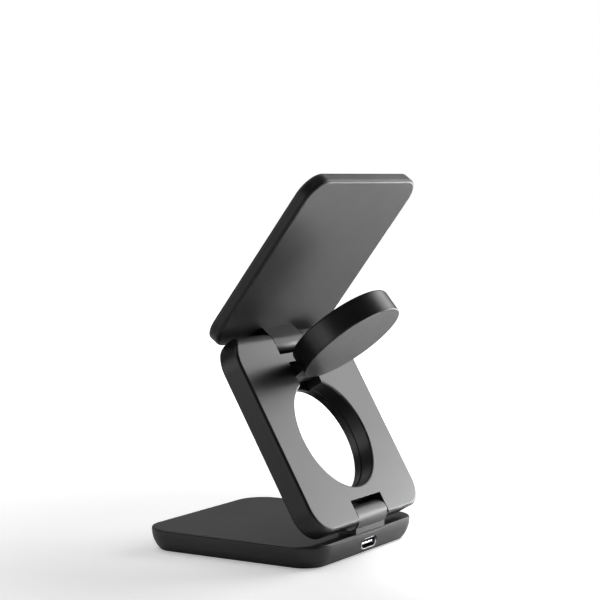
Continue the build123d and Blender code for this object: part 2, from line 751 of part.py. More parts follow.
# Puck housing with its neck and hinge barrel
with BuildPart() as puck_housing:
    with BuildSketch(puck_plane.offset(puck_parting_w)):
        with Locations((0, puck_reach)):
            Circle(puck_radius)
    extrude(amount=puck_high_w - puck_parting_w)
    top_face = puck_housing.faces().sort_by(Axis((0, 0, 0), puck_plane.z_dir))[-1]
    fillet(top_face.edges(), puck_edge)
    with BuildSketch(puck_plane.offset(-neck_below)):
        Rectangle(flap_width, puck_reach, align=(Align.CENTER, Align.MIN))
    extrude(amount=neck_below + neck_above)
    with BuildSketch(puck_side):
        Circle(flap_barrel_radius)
    extrude(amount=flap_width / 2, both=True)
    with BuildSketch(puck_plane.offset(puck_parting_w)):
        with Locations((0, puck_reach)):
            Circle(puck_cavity_radius)
    extrude(amount=ledge_low_w - puck_parting_w, mode=Mode.SUBTRACT)
    with BuildSketch(puck_plane.offset(ledge_low_w)):
        with Locations((0, puck_reach)):
            Circle(face_radius - face_ledge)
    extrude(amount=face_ledge_thick, mode=Mode.SUBTRACT)
    with BuildSketch(puck_plane.offset(face_low_w)):
        with Locations((0, puck_reach)):
            Circle(face_radius + face_clear)
    extrude(amount=face_thick, mode=Mode.SUBTRACT)
    with BuildSketch(puck_side):
        Circle(flap_pin_radius + running_clear)
    extrude(amount=flap_width / 2, both=True, mode=Mode.SUBTRACT)
puck_housing.part.label = "puck_housing"
export_step(puck_housing.part, "parts/puck_housing.step")

# Puck bottom cover, with a locating rim and a ring that carries the board
with BuildPart() as puck_bottom_cover:
    with BuildSketch(puck_plane.offset(puck_low_w)):
        with Locations((0, puck_reach)):
            Circle(puck_radius)
    extrude(amount=puck_bottom)
    low_face = puck_bottom_cover.faces().sort_by(Axis((0, 0, 0), puck_plane.z_dir))[0]
    fillet(low_face.edges(), puck_bottom_edge)
    with BuildSketch(puck_plane.offset(puck_parting_w)):
        with Locations((0, puck_reach)):
            rim_radius = puck_cavity_radius - puck_rim_clear
            ring(rim_radius, rim_radius - puck_rim)
    extrude(amount=puck_rim_height)
    with BuildSketch(puck_plane.offset(puck_parting_w)):
        with Locations((0, puck_reach)):
            ring(puck_post_radius, puck_post_radius - puck_post_wall)
    extrude(amount=puck_board_low_w - puck_parting_w)
puck_bottom_cover.part.label = "puck_bottom_cover"
export_step(puck_bottom_cover.part, "parts/puck_bottom_cover.step")

# Puck charging face, dished for the rounded back of a watch
dish_rim = face_radius - face_dish_margin
dish_radius = (dish_rim**2 + face_dish**2) / (2 * face_dish)
with BuildPart() as puck_charging_face:
    with BuildSketch(puck_plane.offset(face_low_w)):
        with Locations((0, puck_reach)):
            Circle(face_radius)
    extrude(amount=face_thick)
    with Locations(puck_plane.from_local_coords((0, puck_reach, puck_high_w - face_dish + dish_radius))):
        Sphere(dish_radius, mode=Mode.SUBTRACT)
puck_charging_face.part.label = "puck_charging_face"
export_step(puck_charging_face.part, "parts/puck_charging_face.step")

# Watch charging coil
with BuildPart() as watch_coil:
    with BuildSketch(puck_plane.offset(coil_low_w)):
        with Locations((0, puck_reach)):
            ring(watch_coil_outer, watch_coil_inner)
    extrude(amount=watch_coil_thick)
watch_coil.part.label = "watch_coil"
export_step(watch_coil.part, "parts/watch_coil.step")

# Watch ferrite sheet, open in the middle for the magnet
with BuildPart() as watch_ferrite:
    with BuildSketch(puck_plane.offset(ferrite_low_w)):
        with Locations((0, puck_reach)):
            ring(watch_ferrite_radius, watch_magnet_radius + watch_magnet_clear)
    extrude(amount=watch_ferrite_thick)
watch_ferrite.part.label = "watch_ferrite"
export_step(watch_ferrite.part, "parts/watch_ferrite.step")

# Magnet that holds the watch
with BuildPart() as watch_magnet:
    with BuildSketch(puck_plane.offset(ferrite_low_w)):
        with Locations((0, puck_reach)):
            Circle(watch_magnet_radius)
    extrude(amount=face_low_w - ferrite_low_w)
watch_magnet.part.label = "watch_magnet"
export_step(watch_magnet.part, "parts/watch_magnet.step")

# Puck circuit board
with BuildPart() as puck_circuit_board:
    with BuildSketch(puck_plane.offset(puck_board_low_w)):
        with Locations((0, puck_reach)):
            Circle(puck_board_radius)
    extrude(amount=puck_board_thick)
puck_circuit_board.part.label = "puck_circuit_board"
export_step(puck_circuit_board.part, "parts/puck_circuit_board.step")
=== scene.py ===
import json
from math import cos, pi, radians, sin

import bpy
import numpy as np
from mathutils import Matrix, Vector


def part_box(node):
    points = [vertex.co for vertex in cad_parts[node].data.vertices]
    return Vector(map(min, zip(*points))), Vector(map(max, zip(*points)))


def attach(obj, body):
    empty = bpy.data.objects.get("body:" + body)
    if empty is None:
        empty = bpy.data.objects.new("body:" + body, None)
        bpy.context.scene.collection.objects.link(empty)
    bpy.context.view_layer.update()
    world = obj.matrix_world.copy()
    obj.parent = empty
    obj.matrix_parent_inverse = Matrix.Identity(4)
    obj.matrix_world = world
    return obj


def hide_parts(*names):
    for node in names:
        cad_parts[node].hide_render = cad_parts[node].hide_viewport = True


# Folding charging stand: satin black mouldings, a bright power inlet and the charging parts inside.
# Metres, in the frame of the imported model: +Z up, +Y to the rear, origin under the middle of the base.

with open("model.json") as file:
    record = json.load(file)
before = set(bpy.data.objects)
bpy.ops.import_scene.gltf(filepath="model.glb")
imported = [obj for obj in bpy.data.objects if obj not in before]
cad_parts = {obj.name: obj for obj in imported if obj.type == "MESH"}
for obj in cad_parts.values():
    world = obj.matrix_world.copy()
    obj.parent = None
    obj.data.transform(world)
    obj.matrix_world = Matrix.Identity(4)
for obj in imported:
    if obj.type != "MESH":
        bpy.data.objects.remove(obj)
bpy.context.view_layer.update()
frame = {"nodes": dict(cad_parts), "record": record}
cad_nodes = frame["nodes"]
scene = bpy.context.scene


# Camera

CAMERA_AZIMUTH_DEGREES = 121.37
CAMERA_AZIMUTH = radians(CAMERA_AZIMUTH_DEGREES)
CAMERA_ELEVATION = radians(3.98)
CAMERA_DISTANCE = 0.5462
CAMERA_TARGET = Vector((-0.00084, 0.00586, 0.07594))
CAMERA_LENS = 106.6
CAMERA_SENSOR = 36.0
CAMERA_NEAREST = 0.01


def set_camera():
    """Stands the camera at the target plus its distance along the back axis, square to right and up."""
    back = Vector((
        sin(CAMERA_AZIMUTH) * cos(CAMERA_ELEVATION),
        -cos(CAMERA_AZIMUTH) * cos(CAMERA_ELEVATION),
        sin(CAMERA_ELEVATION),
    ))
    right = Vector((cos(CAMERA_AZIMUTH), sin(CAMERA_AZIMUTH), 0.0))
    up = back.cross(right)
    data = bpy.data.cameras.new("camera")
    data.lens = CAMERA_LENS
    data.sensor_width = CAMERA_SENSOR
    data.clip_start = CAMERA_NEAREST
    camera = bpy.data.objects.new("camera", data)
    turn = Matrix((right, up, back)).transposed().to_4x4()
    camera.matrix_world = Matrix.Translation(CAMERA_TARGET + CAMERA_DISTANCE * back) @ turn
    scene.collection.objects.link(camera)
    scene.camera = camera


# Node helpers

def link(tree, source, target):
    tree.links.new(source, target)


def shader_node(tree, kind, settings=None, **values):
    """Adds a node, sets its own properties from settings and its input sockets from values."""
    node = tree.nodes.new(kind)
    for key, value in (settings or {}).items():
        setattr(node, key, value)
    for key, value in values.items():
        node.inputs[key.replace("_", " ")].default_value = value
    return node


def math_node(tree, operation, first, second):
    node = tree.nodes.new("ShaderNodeMath")
    node.operation = operation
    for socket, value in zip(node.inputs, (first, second)):
        if isinstance(value, (int, float)):
            socket.default_value = value
        else:
            link(tree, value, socket)
    return node.outputs[0]


def map_range(tree, value, low, high, to_low, to_high):
    """Value taken from low..high to to_low..to_high; the target ends may be sockets or numbers."""
    node = tree.nodes.new("ShaderNodeMapRange")
    link(tree, value, node.inputs["Value"])
    for key, end in zip(("From Min", "From Max", "To Min", "To Max"), (low, high, to_low, to_high)):
        if isinstance(end, (int, float)):
            node.inputs[key].default_value = end
        else:
            link(tree, end, node.inputs[key])
    return node.outputs["Result"]


def mix_colour(tree, factor, first, second):
    """Blend of two colours, each a socket or an RGB triple."""
    node = tree.nodes.new("ShaderNodeMix")
    node.data_type = "RGBA"
    link(tree, factor, node.inputs["Factor"])
    for socket, value in zip((node.inputs[6], node.inputs[7]), (first, second)):
        if isinstance(value, tuple):
            socket.default_value = (*value, 1.0)
        else:
            link(tree, value, socket)
    return node.outputs[2]


def node_group(name, inputs, outputs):
    """An empty group with float inputs {name: default} and outputs {name: socket type}."""
    tree = bpy.data.node_groups.new(name, "ShaderNodeTree")
    for key, value in inputs.items():
        socket = tree.interface.new_socket(key, in_out="INPUT", socket_type="NodeSocketFloat")
        socket.default_value = value
    for key, kind in outputs.items():
        tree.interface.new_socket(key, in_out="OUTPUT", socket_type=kind)
    return tree, tree.nodes.new("NodeGroupInput").outputs, tree.nodes.new("NodeGroupOutput").inputs


def use_group(tree, group, **values):
    node = tree.nodes.new("ShaderNodeGroup")
    node.node_tree = group
    for key, value in values.items():
        node.inputs[key.replace("_", " ")].default_value = value
    return node.outputs


# Shared effects

def make_moulded_grain():
    """Spark-eroded mould texture: fine noise for the height, broad noise for the evenness of the fill."""
    tree, given, result = node_group(
        "moulded_grain",
        {"Grain Size": 0.00025, "Patch Size": 0.012},
        {"Height": "NodeSocketFloat", "Patches": "NodeSocketFloat"},
    )
    place = tree.nodes.new("ShaderNodeTexCoord").outputs["Object"]
    fine = shader_node(tree, "ShaderNodeTexNoise", Detail=2.0, Roughness=0.6)
    link(tree, place, fine.inputs["Vector"])
    link(tree, math_node(tree, "DIVIDE", 1.0, given["Grain Size"]), fine.inputs["Scale"])
    broad = shader_node(tree, "ShaderNodeTexNoise", Detail=3.0, Roughness=0.5)
    link(tree, place, broad.inputs["Vector"])
    link(tree, math_node(tree, "DIVIDE", 1.0, given["Patch Size"]), broad.inputs["Scale"])
    link(tree, fine.outputs[0], result["Height"])
    link(tree, broad.outputs[0], result["Patches"])
    return tree


def make_edge_wear_and_highlight():
    """Mask of the edges that hands and cloths polish, also used for a painted highlight along edges: how
    far a rounded normal leaves the true one.
    """
    tree, given, result = node_group(
        "edge_wear_and_highlight",
        {"Edge Width": 0.0004, "Patch Size": 0.004},
        {"Mask": "NodeSocketFloat"},
    )
    rounded = shader_node(tree, "ShaderNodeBevel", {"samples": 4})
    link(tree, given["Edge Width"], rounded.inputs["Radius"])
    true_normal = tree.nodes.new("ShaderNodeNewGeometry").outputs["True Normal"]
    turn = shader_node(tree, "ShaderNodeVectorMath", {"operation": "DOT_PRODUCT"})
    link(tree, rounded.outputs[0], turn.inputs[0])
    link(tree, true_normal, turn.inputs[1])
    edge = map_range(tree, turn.outputs["Value"], 0.99, 0.85, 0.0, 1.0)
    patches = tree.nodes.new("ShaderNodeTexNoise")
    link(tree, tree.nodes.new("ShaderNodeTexCoord").outputs["Object"], patches.inputs["Vector"])
    link(tree, math_node(tree, "DIVIDE", 1.0, given["Patch Size"]), patches.inputs["Scale"])
    broken = map_range(tree, patches.outputs[0], 0.3, 0.6, 0.3, 1.0)
    link(tree, math_node(tree, "MULTIPLY", edge, broken), result["Mask"])
    return tree


def make_fine_dust():
    """Mask of dust that settles on faces that look up, in soft clouds with a few specks."""
    tree, given, result = node_group(
        "fine_dust",
        {"Cloud Size": 0.02, "Speck Size": 0.0006},
        {"Mask": "NodeSocketFloat"},
    )
    normal = tree.nodes.new("ShaderNodeNewGeometry").outputs["Normal"]
    split = tree.nodes.new("ShaderNodeSeparateXYZ")
    link(tree, normal, split.inputs[0])
    facing_up = map_range(tree, split.outputs["Z"], 0.2, 0.95, 0.0, 1.0)
    place = tree.nodes.new("ShaderNodeTexCoord").outputs["Object"]
    clouds = shader_node(tree, "ShaderNodeTexNoise", Detail=4.0)
    link(tree, place, clouds.inputs["Vector"])
    link(tree, math_node(tree, "DIVIDE", 1.0, given["Cloud Size"]), clouds.inputs["Scale"])
    specks = tree.nodes.new("ShaderNodeTexVoronoi")
    link(tree, place, specks.inputs["Vector"])
    link(tree, math_node(tree, "DIVIDE", 1.0, given["Speck Size"]), specks.inputs["Scale"])
    dots = map_range(tree, specks.outputs["Distance"], 0.0, 0.12, 0.5, 0.0)
    film = map_range(tree, clouds.outputs[0], 0.35, 0.75, 0.0, 0.5)
    link(tree, math_node(tree, "MULTIPLY", facing_up, math_node(tree, "ADD", film, dots)), result["Mask"])
    return tree


moulded_grain = make_moulded_grain()
edge_wear_and_highlight = make_edge_wear_and_highlight()
fine_dust = make_fine_dust()


# Finishes

NOISE_SPAN = (0.3, 0.7)
TONE_SPREAD = 0.15
GLOSS_SPREAD = 0.025
GRAIN_STRENGTH = 0.35
# Lift of the edge colour: partly wear, partly a painted highlight along the edges.
EDGE_WEAR_AND_HIGHLIGHT_LIFT = 1.6
EDGE_POLISH = 0.08
DUST_AMOUNT = 0.025
DUST_COLOUR = (0.32, 0.31, 0.3)
METAL_GLOSS_SPREAD = 0.06


def scaled(colour, factor):
    return tuple(channel * factor for channel in colour)


def new_finish(name, **values):
    """A material with one Principled shader whose plain values are set on its own sockets."""
    material = bpy.data.materials.new(name)
    material.use_nodes = True
    tree = material.node_tree
    shader = tree.nodes["Principled BSDF"]
    for key, value in values.items():
        shader.inputs[key.replace("_", " ")].default_value = value
    return material, tree, shader


def add_bump(tree, shader, height, depth, strength):
    bump = shader_node(tree, "ShaderNodeBump", Strength=strength, Distance=depth)
    link(tree, height, bump.inputs["Height"])
    link(tree, bump.outputs[0], shader.inputs["Normal"])


def satin_plastic(name, colour, roughness, grain_size=0.00025, grain_depth=0.000012, ior=1.5):
    """Moulded plastic: grain in its height, patches in gloss and tone, edges lighter by wear and a painted
    highlight, a little dust.
    """
    material, tree, shader = new_finish(name, IOR=ior)
    grain = use_group(tree, moulded_grain, Grain_Size=grain_size)
    edge = use_group(tree, edge_wear_and_highlight)["Mask"]
    dusty = math_node(tree, "MULTIPLY", use_group(tree, fine_dust)["Mask"], DUST_AMOUNT)
    patches = map_range(tree, grain["Patches"], *NOISE_SPAN, 0.0, 1.0)
    tone = mix_colour(tree, patches, scaled(colour, 1.0 - TONE_SPREAD), scaled(colour, 1.0 + TONE_SPREAD))
    # The edges are lighter in colour: partly wear, partly a painted highlight.
    worn_and_highlit = mix_colour(tree, edge, tone, scaled(colour, EDGE_WEAR_AND_HIGHLIGHT_LIFT))
    link(tree, mix_colour(tree, dusty, worn_and_highlit, DUST_COLOUR), shader.inputs["Base Color"])
    dullest, glossiest = roughness + GLOSS_SPREAD, roughness - GLOSS_SPREAD
    gloss = map_range(tree, grain["Patches"], *NOISE_SPAN, glossiest, dullest)
    rubbed = math_node(tree, "MULTIPLY", edge, EDGE_POLISH)
    link(tree, math_node(tree, "SUBTRACT", gloss, rubbed), shader.inputs["Roughness"])
    add_bump(tree, shader, grain["Height"], grain_depth, GRAIN_STRENGTH)
    return material


def ringed_metal(name, colour, roughness, ring_pitch):
    """Bright or turned metal: fine bands in the gloss and height, with broad stains in the colour."""
    material, tree, shader = new_finish(name, Metallic=1.0)
    grain = use_group(tree, moulded_grain, Grain_Size=ring_pitch, Patch_Size=0.003)
    stained = mix_colour(tree, grain["Patches"], scaled(colour, 1.0 - TONE_SPREAD), colour)
    link(tree, stained, shader.inputs["Base Color"])
    dullest, glossiest = roughness + METAL_GLOSS_SPREAD, roughness - METAL_GLOSS_SPREAD
    gloss = map_range(tree, grain["Height"], *NOISE_SPAN, glossiest, dullest)
    link(tree, gloss, shader.inputs["Roughness"])
    add_bump(tree, shader, grain["Height"], ring_pitch * 0.05, 0.3)
    return material


def stranded_copper(name, colour):
    """Bare copper strands: a wave over the winding's strand count ridges the twisted wires and paints shade
    into the grooves between them.
    """
    material, tree, shader = new_finish(name, Metallic=1.0)
    strand = shader_node(tree, "ShaderNodeAttribute", {"attribute_name": "strand"}).outputs["Fac"]
    wave = math_node(tree, "SINE", math_node(tree, "MULTIPLY", strand, 2.0 * pi), 0.0)
    grain = use_group(tree, moulded_grain, Grain_Size=0.0002, Patch_Size=0.004)
    groove = map_range(tree, wave, -1.0, 1.0, 0.0, 1.0)
    aged = mix_colour(tree, grain["Patches"], scaled(colour, 0.8), colour)
    # Painted shade: the grooves between the strands are darkened in the colour.
    link(tree, mix_colour(tree, groove, scaled(colour, 0.45), aged), shader.inputs["Base Color"])
    link(tree, map_range(tree, grain["Height"], *NOISE_SPAN, 0.25, 0.38), shader.inputs["Roughness"])
    add_bump(tree, shader, groove, 0.00004, 0.6)
    return material


def printed_board(name, mask_colour, trace_colour):
    """Circuit board: a brick net stands for the copper runs, paler and a little raised under the mask."""
    material, tree, shader = new_finish(name, IOR=1.5)
    place = tree.nodes.new("ShaderNodeTexCoord").outputs["Object"]
    net = shader_node(tree, "ShaderNodeTexBrick", Scale=220.0, Mortar_Size=0.035, Mortar_Smooth=0.1)
    link(tree, place, net.inputs["Vector"])
    grain = use_group(tree, moulded_grain, Grain_Size=0.0004, Patch_Size=0.003)
    routed = map_range(tree, grain["Patches"], 0.4, 0.5, 0.0, 1.0)
    trace = math_node(tree, "MULTIPLY", net.outputs["Fac"], routed)
    link(tree, mix_colour(tree, trace, mask_colour, trace_colour), shader.inputs["Base Color"])
    link(tree, map_range(tree, grain["Height"], *NOISE_SPAN, 0.32, 0.45), shader.inputs["Roughness"])
    add_bump(tree, shader, trace, 0.00003, 0.5)
    return material


def ribbon_film(name, film_colour, wire_colour, wire_pitch):
    """Flat cable: a cosine across the width sets the flat wires side by side under a clear amber film."""
    material, tree, shader = new_finish(name, IOR=1.6, Coat_Weight=0.5)
    split = tree.nodes.new("ShaderNodeSeparateXYZ")
    link(tree, tree.nodes.new("ShaderNodeTexCoord").outputs["Object"], split.inputs[0])
    phase = math_node(tree, "MULTIPLY", split.outputs["X"], 2.0 * pi / wire_pitch)
    wave = math_node(tree, "COSINE", phase, 0.0)
    wire = map_range(tree, wave, -0.2, 0.2, 0.0, 1.0)
    grain = use_group(tree, moulded_grain, Grain_Size=0.0005)
    link(tree, mix_colour(tree, wire, film_colour, wire_colour), shader.inputs["Base Color"])
    link(tree, map_range(tree, grain["Height"], *NOISE_SPAN, 0.28, 0.4), shader.inputs["Roughness"])
    add_bump(tree, shader, wire, 0.00003, 0.6)
    return material


def cracked_ferrite(name, colour, tile_size):
    """Ferrite sheet: cells of fired ceramic with hairline cracks between them, paler along the breaks."""
    material, tree, shader = new_finish(name, IOR=1.8)
    to_edge = {"feature": "DISTANCE_TO_EDGE"}
    cells = shader_node(tree, "ShaderNodeTexVoronoi", to_edge, Scale=1.0 / tile_size)
    link(tree, tree.nodes.new("ShaderNodeTexCoord").outputs["Object"], cells.inputs["Vector"])
    crack = map_range(tree, cells.outputs["Distance"], 0.0, 0.03, 1.0, 0.0)
    grain = use_group(tree, moulded_grain, Grain_Size=0.0003, Patch_Size=0.006)
    fired = mix_colour(tree, grain["Patches"], scaled(colour, 0.8), scaled(colour, 1.2))
    link(tree, mix_colour(tree, crack, fired, scaled(colour, 2.2)), shader.inputs["Base Color"])
    link(tree, map_range(tree, grain["Height"], *NOISE_SPAN, 0.55, 0.75), shader.inputs["Roughness"])
    add_bump(tree, shader, cells.outputs["Distance"], 0.00005, 0.3)
    return material


finishes = {
    # The base shell's colour, about twice the other black mouldings', is painted light: it brightens the
    # shell's dimly lit sides.
    "base_plastic": satin_plastic("base_plastic", (0.024, 0.024, 0.0245), 0.42),
    "base_top_plastic": satin_plastic("base_top_plastic", (0.011, 0.011, 0.0115), 0.4),
    "arm_plastic": satin_plastic("arm_plastic", (0.011, 0.011, 0.0115), 0.36),
    "pad_plastic": satin_plastic("pad_plastic", (0.011, 0.011, 0.0115), 0.4, ior=1.38),
    "pad_face_plastic": satin_plastic("pad_face_plastic", (0.02, 0.02, 0.021), 0.55),
    "puck_plastic": satin_plastic("puck_plastic", (0.011, 0.011, 0.0115), 0.36),
    "puck_face_plastic": satin_plastic("puck_face_plastic", (0.02, 0.02, 0.021), 0.5),
    "foot_rubber": satin_plastic(
        "foot_rubber", (0.035, 0.035, 0.036), 0.75, grain_size=0.0004, grain_depth=0.00003,
    ),
    "connector_steel": ringed_metal("connector_steel", (0.78, 0.78, 0.8), 0.22, 0.0002),
    "connector_plastic": satin_plastic("connector_plastic", (0.02, 0.02, 0.021), 0.35),
    "hardware_steel": ringed_metal("hardware_steel", (0.6, 0.6, 0.62), 0.3, 0.0003),
    "plated_magnet": ringed_metal("plated_magnet", (0.7, 0.69, 0.66), 0.25, 0.0004),
    "backing_steel": ringed_metal("backing_steel", (0.5, 0.5, 0.52), 0.4, 0.0004),
    "copper_wire": stranded_copper("copper_wire", (0.75, 0.36, 0.18)),
    "ferrite_sheet": cracked_ferrite("ferrite_sheet", (0.06, 0.06, 0.065), 0.004),
    "board_laminate": printed_board("board_laminate", (0.02, 0.11, 0.05), (0.08, 0.26, 0.1)),
    "cable_film": ribbon_film("cable_film", (0.4, 0.19, 0.03), (0.62, 0.38, 0.14), 0.0006),
}
slot_of = {part["node"]: part["material_slot"] for part in frame["record"]["subparts"]}
for node_name, cad_object in cad_nodes.items():
    cad_object.data.materials.clear()
    cad_object.data.materials.append(finishes[slot_of[node_name]])


# Surfaces

def closed_skins(rings):
    """Skins of rings[piece, station, turn]: quads join the rings, and a fan closes each end to its middle.

    Each ring runs counterclockwise about the way from its station to the next, so the faces look outwards.
    """
    count, stations, turns = rings.shape[:3]
    poles = rings[:, (0, -1)].mean(axis=2)
    points = np.concatenate([rings.reshape(count, -1, 3), poles], axis=1)
    station, turn = np.meshgrid(np.arange(stations - 1), np.arange(turns), indexing="ij")
    here = station * turns + turn
    beside = station * turns + (turn + 1) % turns
    quads = np.stack([here, beside, beside + turns, here + turns], axis=-1).reshape(-1, 4)
    around = np.arange(turns)
    after = (around + 1) % turns
    last = (stations - 1) * turns
    pole = np.full(turns, stations * turns)
    fans = np.concatenate([
        np.stack([after, around, pole], axis=-1),
        np.stack([around + last, after + last, pole + 1], axis=-1),
    ])
    shift = np.arange(count)[:, None, None] * points.shape[1]
    return points.reshape(-1, 3), (quads + shift).reshape(-1, 4), (fans + shift).reshape(-1, 3)


def add_piece(name, rings, body, slot_name, smooth, stands_for=()):
    """One object of closed skins that rides on a body and wears the finish of a material slot."""
    points, quads, fans = closed_skins(rings)
    mesh = bpy.data.meshes.new(name)
    mesh.from_pydata(points.tolist(), [], quads.tolist() + fans.tolist())
    mesh.polygons.foreach_set("use_smooth", np.full(len(mesh.polygons), smooth))
    mesh.materials.append(finishes[slot_name])
    piece = bpy.data.objects.new(name, mesh)
    scene.collection.objects.link(piece)
    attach(piece, body)
    if stands_for:
        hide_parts(*stands_for)
    return mesh


def rounded_outline(half_width, half_height, corner, turns=16):
    """Rectangle with round corners: each point is its corner's centre plus the radius at its angle."""
    angle = (np.arange(turns) + 0.5) * 2.0 * pi / turns
    across, along = np.cos(angle), np.sin(angle)
    return np.stack([
        np.sign(across) * (half_width[..., None] - corner) + corner * across,
        np.sign(along) * (half_height[..., None] - corner) + corner * along,
    ], axis=-1)


def standing_blocks(blocks, corner, edge):
    """Rings of blocks given as (x, y, foot, width, depth, height).

    Each outline is carried up through four levels, and the first and last are drawn in by the edge.
    """
    x, y, foot, width, depth, height = np.asarray(blocks).T[..., None]
    inset = edge * np.array((1.0, 0.0, 0.0, 1.0))
    rise = np.concatenate([foot, foot + edge, foot + height - edge, foot + height], axis=1)
    outline = rounded_outline(width / 2.0 - inset, depth / 2.0 - inset, corner)
    middle = np.stack(np.broadcast_arrays(x, y), axis=-1)[:, :, None]
    level = np.broadcast_to(rise[..., None, None], (*outline.shape[:3], 1))
    return np.concatenate([outline + middle, level], axis=-1)


def node_points(name):
    """The vertices of a node's mesh as an array of places."""
    vertices = cad_nodes[name].data.vertices
    places = np.empty(3 * len(vertices))
    vertices.foreach_get("co", places)
    return places.reshape(-1, 3)


# Power inlet

MILLIMETRE = 0.001
NOSING_LENGTH = 1.1 * MILLIMETRE
NOSING_SKIN = 0.03 * MILLIMETRE
NOSING_ROUND = 0.28 * MILLIMETRE
NOSING_STEPS = 7
CONTACT_COUNT = 12
CONTACT_PITCH = 0.5 * MILLIMETRE
CONTACT_WIDTH = 0.26 * MILLIMETRE
CONTACT_LENGTH = 3.2 * MILLIMETRE
CONTACT_GAP = 0.2 * MILLIMETRE
CONTACT_PROUD = 0.04 * MILLIMETRE

tongue_low, tongue_high = (np.array(corner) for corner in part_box("usb_c_tongue"))
tongue_middle = (tongue_low + tongue_high) / 2.0
tongue_half = (tongue_high - tongue_low) / 2.0


def add_tongue_nosing():
    """Steel cap on the tongue: its outline runs to the rear and draws in by a quarter circle at the tip."""
    turn = np.linspace(0.0, pi / 2.0, NOSING_STEPS)
    inset = np.concatenate([(0.0,), NOSING_ROUND * (1.0 - np.cos(turn))])
    tip = tongue_high[1] + NOSING_SKIN
    reach = np.concatenate([(tip - NOSING_LENGTH,), tip - NOSING_ROUND * (1.0 - np.sin(turn))])
    outline = rounded_outline(
        tongue_half[2] + NOSING_SKIN - inset,
        tongue_half[0] + NOSING_SKIN - inset,
        NOSING_SKIN,
    )
    rings = np.stack([
        tongue_middle[0] + outline[..., 1],
        np.broadcast_to(reach[:, None], outline.shape[:2]),
        tongue_middle[2] + outline[..., 0],
    ], axis=-1)
    add_piece("inlet_tongue_nosing", rings[None], "base", "connector_steel", smooth=False)


def add_tongue_contacts():
    """Two rows of flat contacts, side by side at one pitch, on the tongue's upper and lower faces."""
    x = (np.arange(CONTACT_COUNT) - (CONTACT_COUNT - 1) / 2.0) * CONTACT_PITCH
    y = tongue_high[1] - NOSING_LENGTH - CONTACT_GAP - CONTACT_LENGTH / 2.0
    feet = (tongue_high[2], tongue_low[2] - CONTACT_PROUD)
    size = (CONTACT_WIDTH, CONTACT_LENGTH, CONTACT_PROUD)
    blocks = [(place, y, foot, *size) for foot in feet for place in x]
    rings = standing_blocks(blocks, CONTACT_WIDTH / 4.0, CONTACT_PROUD / 4.0)
    add_piece("inlet_contacts", rings, "base", "plated_magnet", smooth=False)


# Charging coils

COIL_STEPS = 90
COIL_AROUND = 12
COIL_STRANDS = 7.0
COIL_LAY = 14.0
COIL_FULLNESS = 0.97
COIL_SQUARENESS = 0.75
COIL_CLIMB = 4.0


def add_coil(node, body, axis, layers):
    """Flat winding: r = inner + wire * (turn + 1/2), out on one layer and back on the next."""
    axis = np.array(axis) / np.linalg.norm(axis)
    low, high = (np.array(corner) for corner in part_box(node))
    centre = (low + high) / 2.0
    offset = node_points(node) - centre
    rise = offset @ axis
    radius = np.linalg.norm(offset - rise[:, None] * axis, axis=1)
    inner, outer = radius.min(), radius.max()
    wire_high = (rise.max() - rise.min()) / layers
    turns = int(round((outer - inner) / wire_high))
    wire_wide = (outer - inner) / turns
    travel = np.linspace(0.0, layers * (turns - 1), layers * (turns - 1) * COIL_STEPS + 1)
    back = np.clip(travel - (turns - 1), 0.0, None)
    wound = np.minimum(travel, turns - 1) - back
    climb = np.clip(COIL_CLIMB * back, 0.0, 1.0)
    across = np.array((1.0, 0.0, 0.0))
    along = np.cross(axis, across)
    angle = 2.0 * pi * travel[:, None]
    outward = np.cos(angle) * across + np.sin(angle) * along
    reach = inner + wire_wide * (wound + 0.5)
    level = rise.min() + wire_high * (0.5 + climb)
    route = centre + reach[:, None] * outward + level[:, None] * axis
    turn = 2.0 * pi * np.arange(COIL_AROUND) / COIL_AROUND + pi
    up = np.sign(np.cos(turn)) * np.abs(np.cos(turn)) ** COIL_SQUARENESS * wire_high / 2.0 * COIL_FULLNESS
    out = np.sign(np.sin(turn)) * np.abs(np.sin(turn)) ** COIL_SQUARENESS * wire_wide / 2.0 * COIL_FULLNESS
    rings = route[:, None] + up[:, None] * axis + out[:, None] * outward[:, None]
    mesh = add_piece(f"{node}_winding", rings[None], body, "copper_wire", smooth=True, stands_for=(node,))
    strand = COIL_STRANDS * np.arange(COIL_AROUND) / COIL_AROUND + COIL_LAY * travel[:, None]
    strand = np.concatenate([strand.ravel(), (0.0, 0.0)])
    mesh.attributes.new("strand", "FLOAT", "POINT").data.foreach_set("value", strand.astype(np.float32))


# Screws

THREAD_PITCH = 0.5 * MILLIMETRE
THREAD_DEPTH = 0.14 * MILLIMETRE
THREAD_STEPS = 10
SLOT_WIDTH = 0.55 * MILLIMETRE
SLOT_REACH = 1.15 * MILLIMETRE
SLOT_DEPTH = 0.4 * MILLIMETRE
SLOT_SOFT = 0.08 * MILLIMETRE
SCREW_AROUND = 48
HEAD_HUB = 0.03
HEAD_FACE = 0.94
HEAD_RINGS = 22
HEAD_EDGE = 0.06


def screw_places(points, head_radius):
    """Middles of the six screws: four at the corners of their box and two between the rear ones."""
    x, y = np.abs(points[:, :2].max(axis=0)) - head_radius
    between = points[np.abs(points[:, 0]) < x - 2.0 * head_radius]
    right = between[between[:, 0] > 0.0]
    leg_x, leg_y = (right[:, :2].min(axis=0) + right[:, :2].max(axis=0)) / 2.0
    return np.array([(x, y), (-x, y), (x, -y), (-x, -y), (leg_x, leg_y), (-leg_x, leg_y)])


